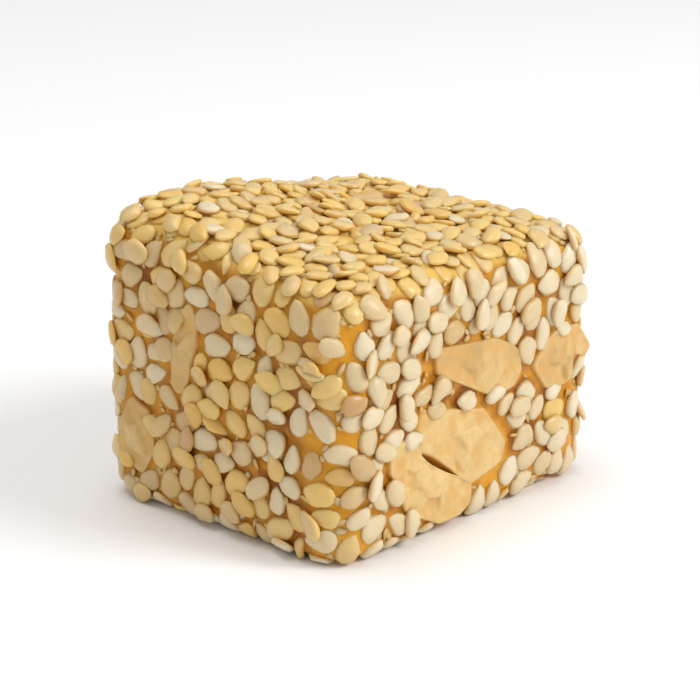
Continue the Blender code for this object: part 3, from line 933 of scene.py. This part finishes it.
class NOUGAT_OT_sesame(bpy.types.Operator):
    """Makes the sesame: a piece for each kind, of seeds that lie on the caramel and each other"""

    bl_idname = "nougat.sesame"
    bl_label = "Sesame"

    def execute(self, context):
        colours = context.scene.nougat_colours
        shape, faces = primitive_shape(
            bpy.ops.mesh.primitive_uv_sphere_add, segments=8, ring_count=8, radius=1
        )
        rng = np.random.default_rng([RANDOM_SEED, 2])
        lenses = seeds_at_rest()
        kinds, bows = self.kinds(lenses, rng), self.bows(lenses)
        warm = colours.sesame_warm
        looks = {  # light, warm and stained colour, coat and roughness
            "pale": (colours.sesame_light, warm, SEED_STAIN, 0.12, 0.4),
            "glazed": (colours.glazed, warm, colours.syrup_and_painted_light, 0.3, 0.34),
            "toasted": (warm, colours.toasted, SEED_STAIN, 0.3, 0.4),
        }
        for kind in KINDS:
            chosen = [pair for pair, its in zip(zip(lenses, bows), kinds) if its == kind]
            made = [self.seed(shape, lens, bow, rng) for lens, bow in chosen]
            points, grain, tint = (np.array(rows) for rows in zip(*made))
            piece = joined("sesame_" + kind, points, faces)
            store(piece.data, "grain", grain, "FLOAT_VECTOR")
            store(piece.data, "tint", tint, "FLOAT_COLOR")
            piece.data.materials.append(sesame_finish(piece.name, *looks[kind]))
            hand_over(piece, "sesame", "nougat")
        return {"FINISHED"}

    def kinds(self, lenses, rng):
        """The kind of each seed, by chance and by the side that it faces."""
        found = []
        for lens in lenses:
            out = lens.axes[2]
            side = "top" if out[2] > FACING else "left" if out[0] < -FACING else "rest"
            # Left-facing seeds are more often glazed, partly as painted shade.
            found.append(KINDS[rng.choice(len(KINDS), p=KIND_SHARES[side])])
        return found

    def seed(self, shape, lens, bow, rng):
        """One seed: a teardrop, flat, a little bent and dented, no two alike."""
        long, wide, thick = lens.half
        x, turn = shape[:, 2], np.arctan2(shape[:, 1], shape[:, 0])
        tip = rng.uniform(0.52, 0.86)
        outline = np.clip(1 + x, 0, 1.999) ** 0.5 * np.clip(1 - x, 0, 1.999) ** tip
        outline /= outline.max()
        y = np.sign(np.cos(turn)) * np.abs(np.cos(turn)) ** 0.85
        z = np.sign(np.sin(turn)) * np.abs(np.sin(turn)) ** 0.52
        lump = 1 + 0.05 * np.sin(3 * turn + rng.uniform(0, 6))
        lump = lump + 0.08 * np.sin(3.4 * x + turn + rng.uniform(0, 6))
        high = z * thick * outline**0.7 * lump
        local = np.stack([x * long, y * wide * outline * lump, high], axis=1)
        skew = rng.normal(0, 0.07)
        local[:, 1] += skew * wide * (1 - x**2)
        ahead, aside = x - rng.uniform(-0.4, 0.3), np.cos(turn) - rng.uniform(-0.3, 0.3)
        dent = np.exp(-(ahead**2 * 5 + aside**2 * 3))
        local[:, 2] -= rng.uniform(0, 0.28) * thick * dent * (np.sin(turn) > 0)
        local[:, 2] -= bow[0] * (local[:, 0] / long) ** 2 + bow[1] * (local[:, 1] / wide) ** 2
        local += rng.normal(0, (0.018, 0.026, 0.06), local.shape) * lens.half
        points = lens.middle + local @ lens.axes
        points[:, 2] = np.maximum(points[:, 2], 0)
        stain = 0.9 * smoothstep(0.7, -0.4, z) * rng.uniform(0.5, 1)
        grain = np.stack([x * 0.8 + rng.uniform(0, 99), y * 5, z * 5], axis=1)
        tone, tan_and_painted_shade = rng.beta(2.2, 1.6), rng.beta(1.2, 4)
        # Painted shade: seeds that face left are made browner, for the warm shade on that side.
        if lens.axes[2][0] < -FACING:
            tan_and_painted_shade = min(1, tan_and_painted_shade + LEFT_PAINTED_SHADE)
        tint = np.stack([0 * x + tone, stain, 0 * x + tan_and_painted_shade, 0 * x + 1], axis=1)
        return points, grain, tint

    def bows(self, lenses):
        """How far each seed follows the block's curve at its tips and at its sides."""
        middle = np.array([lens.middle for lens in lenses])
        found = []
        for axis in (0, 1):
            along = np.array([lens.axes[axis] for lens in lenses])
            half = np.array([lens.half[axis] for lens in lenses])[:, None]
            drops = []
            for ends in (middle - half * along, middle, middle + half * along):
                here, _, out = on_surface(ends, along)
                drops.append(((ends - here) * out).sum(1))
            found.append((drops[0] + drops[2]) / 2 - drops[1])
        return np.clip(0.75 * np.array(found).T, 0, 0.45 * MM)


class NOUGAT_OT_peanuts(bpy.types.Operator):
    """Makes each peanut piece: the solid's facets, worn at the edges and rough as a broken nut"""

    bl_idname = "nougat.peanuts"
    bl_label = "Peanut pieces"

    def execute(self, context):
        finish = peanut_finish(context.scene.nougat_colours)
        rng = np.random.default_rng([RANDOM_SEED, 4])
        for name, (face, at, size, turn) in NUTS.items():
            piece = self.worn_copy(context, name)
            points, out = coordinates(piece.data), normals(piece.data)
            turned = np.array(patch_matrix(face, at, turn).inverted())
            height = points @ turned[2, :3] + turned[2, 3]
            rough = 0.04 * MM * fractal(points, 1.8 * MM, 2, len(name))
            rough = rough + 0.012 * MM * fractal(points, 0.5 * MM, 2)
            swell = NUT_SWELL - (NUT_SWELL - CRACK_SWELL) * smoothstep(0.2 * MM, 0.7 * MM, height)
            points = points + (swell + rough)[:, None] * out
            points, planes = self.broken(points, turned, size, rng)
            if name in CRACK_SIDES:
                gape, above, upward = crack_line(points)
                side = CRACK_SIDES[name]
                back = CRACK_GAPE * gape * smoothstep(1.5 * MM, 0.3 * MM, side * above)
                points += side * back[:, None] * upward
            points[:, 2] = np.maximum(points[:, 2], 0)
            move_to(piece.data, points)
            height = points @ turned[2, :3] + turned[2, 3]
            store(piece.data, "plane", 0.4 + 0.6 * planes if name in PALE_NUTS else 0.6 * planes)
            edge = fractal(points, 1.1 * MM, 2, 3.0) * 0.2 * MM
            store(piece.data, "glaze", 0.85 * (1 - smoothstep(0.0, 0.4 * MM, height + edge)))
            piece.data.materials.append(finish)
            hand_over(piece, "peanut", name)
        return {"FINISHED"}

    def broken(self, points, turned, size, rng):
        """Cuts a piece's outer side to a few sloping planes with crisp ridges, and chips them."""
        local = within(turned, points)
        high = local[:, 2].max()
        cuts = []
        for angle in rng.uniform(0, 2 * math.pi) + np.array([0.0, 1.5, 3.1, 4.6]):
            run = math.cos(angle) * local[:, 0] + math.sin(angle) * local[:, 1]
            cuts.append(high - rng.uniform(0.12, 0.42) * (run - rng.uniform(0, 0.25) * size[1] * MM))
        count = int(size[0] * size[1] / CHIP_AREA) + 3
        middles = rng.uniform(-0.5, 0.5, (count, 2)) * size * MM
        off = local[:, None, :2] - middles
        apart = np.linalg.norm(off, axis=-1)
        share = np.exp((apart.min(1, keepdims=True) - apart) / CHIP_EDGE)
        share /= share.sum(1, keepdims=True)
        depth = rng.uniform(0, CHIP_DEPTH, count)
        depth = depth + (off * rng.uniform(-0.35, 0.35, (count, 2))).sum(-1)
        chipped = (share * np.clip(depth, 0, 1.5 * CHIP_DEPTH)).sum(1)
        cut = np.min(cuts, axis=0) - chipped
        outer = smoothstep(0.25 * MM, 0.6 * MM, local[:, 2])
        drop = np.clip(local[:, 2] - np.maximum(cut, 0.3 * high), 0, None)
        planes = 0.5 * rng.uniform(0, 1, len(cuts))[np.argmin(cuts, axis=0)]
        planes = planes + 0.5 * share @ rng.uniform(0, 1, count)
        return points - (outer * drop)[:, None] * turned[2, :3], planes

    def worn_copy(self, context, name):
        """A finer mesh of a CAD nut piece, with its edges a little worn."""
        deselect()
        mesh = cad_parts[name].data.copy()
        mesh.materials.clear()
        piece = linked(name.replace("peanut", "roasted"), mesh)
        piece.select_set(True)
        context.view_layer.objects.active = piece
        bpy.ops.object.mode_set(mode="EDIT")
        bpy.ops.mesh.select_all(action="SELECT")
        bpy.ops.mesh.remove_doubles(threshold=0.000005)
        bpy.ops.object.mode_set(mode="OBJECT")
        remesh = piece.modifiers.new("even", "REMESH")
        remesh.mode = "VOXEL"
        remesh.voxel_size = context.scene.nougat_sizes.nut_voxel
        bpy.ops.object.modifier_apply(modifier=remesh.name)
        worn = piece.modifiers.new("worn", "SMOOTH")
        worn.iterations = 1
        bpy.ops.object.modifier_apply(modifier=worn.name)
        piece.data.shade_smooth()
        return piece


class NOUGAT_OT_flecks(bpy.types.Operator):
    """Makes the crumbs of seed skin and nut that stick in the caramel between the seeds"""

    bl_idname = "nougat.flecks"
    bl_label = "Flecks"

    def execute(self, context):
        count = context.scene.nougat_sizes.flecks
        shape, faces = primitive_shape(
            bpy.ops.mesh.primitive_ico_sphere_add, subdivisions=1, radius=1
        )
        rng = np.random.default_rng([RANDOM_SEED, 3])
        tries = FLECK_TRIES * count
        faces_at = rng.choice(FACE_NAMES.index("base"), tries)  # all but the base
        across, up = rng.uniform(-1, 1, (2, tries))
        middle, right, rise, out = frames(faces_at, across, up)
        nuts = seedless_patches(FLECK_MARGIN)[: len(NUTS)]
        free = clear_of(nuts, middle) & (seed_nearness(middle) > 0.08 * MM)
        copies = []
        for k in np.flatnonzero(free)[:count]:
            half = np.array([rng.uniform(*span) for span in FLECK_SIZES]) * MM
            turn = rng.uniform(0, math.pi)
            along = math.cos(turn) * right[k] + math.sin(turn) * rise[k]
            axes = np.stack([along, np.cross(out[k], along), out[k]])
            waves = shape @ rng.normal(0, 2.4, (3, 3)) + rng.uniform(0, 6, 3)
            local = shape * half * (1 + 0.22 * np.sin(waves).sum(1))[:, None]
            copies.append(middle[k] + rng.uniform(0.05, 0.22) * MM * out[k] + local @ axes)
        piece = joined("flecks", np.array(copies), faces)
        tone = np.repeat(rng.beta(2, 2, len(copies)), len(shape))
        tint = np.stack([tone, 0.35 + 0 * tone, 0 * tone, 1 + 0 * tone], axis=1)
        store(piece.data, "tint", tint, "FLOAT_COLOR")
        store(piece.data, "grain", coordinates(piece.data) / MM, "FLOAT_VECTOR")
        colours = context.scene.nougat_colours
        warm, dark = colours.sesame_warm, colours.peanut_dark
        piece.data.materials.append(sesame_finish("fleck", warm, dark, FLECK_STAIN, 0.4, 0.35))
        hand_over(piece, "sesame", "nougat")
        return {"FINISHED"}


def aimed(data, place, target):
    """A new lamp or camera at a place, looking at a target."""
    made = linked(data.name, data)
    made.location = place
    made.rotation_euler = (Vector(target) - Vector(place)).to_track_quat("-Z", "Y").to_euler()
    return made


class NOUGAT_OT_stage(bpy.types.Operator):
    """Makes the plain floor, the soft studio light and the camera"""

    bl_idname = "nougat.stage"
    bl_label = "Stage"

    def execute(self, context):
        scene = context.scene
        deselect()
        bpy.ops.mesh.primitive_plane_add(size=FLOOR_SIZE)
        floor = context.object
        floor.name = "floor"
        made = Finish("floor")
        made.plain(Base_Color=(*scene.nougat_colours.floor, 1), Roughness=0.7)
        floor.data.materials.append(made.material)
        world = bpy.data.worlds.new("studio")
        world.use_nodes = True
        sky = world.node_tree.nodes["Background"]
        sky.inputs["Color"].default_value = (1, 1, 1, 1)
        sky.inputs["Strength"].default_value = WORLD_LIGHT
        scene.world = world
        for name, place, size, power in LIGHTS:
            data = bpy.data.lights.new(name, "AREA")
            data.shape, data.size, data.energy = "DISK", size, power
            aimed(data, place, LIGHT_AIM)
        data = bpy.data.cameras.new("camera")
        data.sensor_width = SENSOR_WIDTH
        data.lens = SENSOR_WIDTH * CAMERA_FOCAL / FRAME_WIDTH
        data.clip_start = 0.01
        scene.camera = aimed(data, CAMERA_AT, CAMERA_AIM)
        scene.view_settings.view_transform = "Standard"
        return {"FINISHED"}


class NOUGAT_PT_sidebar(bpy.types.Panel):
    """Lists what makes the block, in order"""

    bl_idname = "NOUGAT_PT_sidebar"
    bl_label = "Hard nougat"
    bl_space_type = "VIEW_3D"
    bl_region_type = "UI"
    bl_category = "Nougat"

    def draw(self, context):
        for group in (context.scene.nougat_sizes, context.scene.nougat_colours):
            for name in group.__annotations__:
                self.layout.prop(group, name)
        for operator in OPERATORS:
            self.layout.operator(operator.bl_idname)


OPERATORS = (
    NOUGAT_OT_caramel,
    NOUGAT_OT_sesame,
    NOUGAT_OT_peanuts,
    NOUGAT_OT_flecks,
    NOUGAT_OT_stage,
)
CLASSES = (NougatSizes, NougatColours, *OPERATORS, NOUGAT_PT_sidebar)


def register():
    for made in CLASSES:
        bpy.utils.register_class(made)
    bpy.types.Scene.nougat_sizes = PointerProperty(type=NougatSizes)
    bpy.types.Scene.nougat_colours = PointerProperty(type=NougatColours)


def unregister():
    del bpy.types.Scene.nougat_colours
    del bpy.types.Scene.nougat_sizes
    for made in reversed(CLASSES):
        bpy.utils.unregister_class(made)


def main():
    register()
    bpy.ops.nougat.caramel()
    bpy.ops.nougat.sesame()
    bpy.ops.nougat.peanuts()
    bpy.ops.nougat.flecks()
    bpy.ops.nougat.stage()
    bpy.context.view_layer.update()


if __name__ == "__main__":
    main()
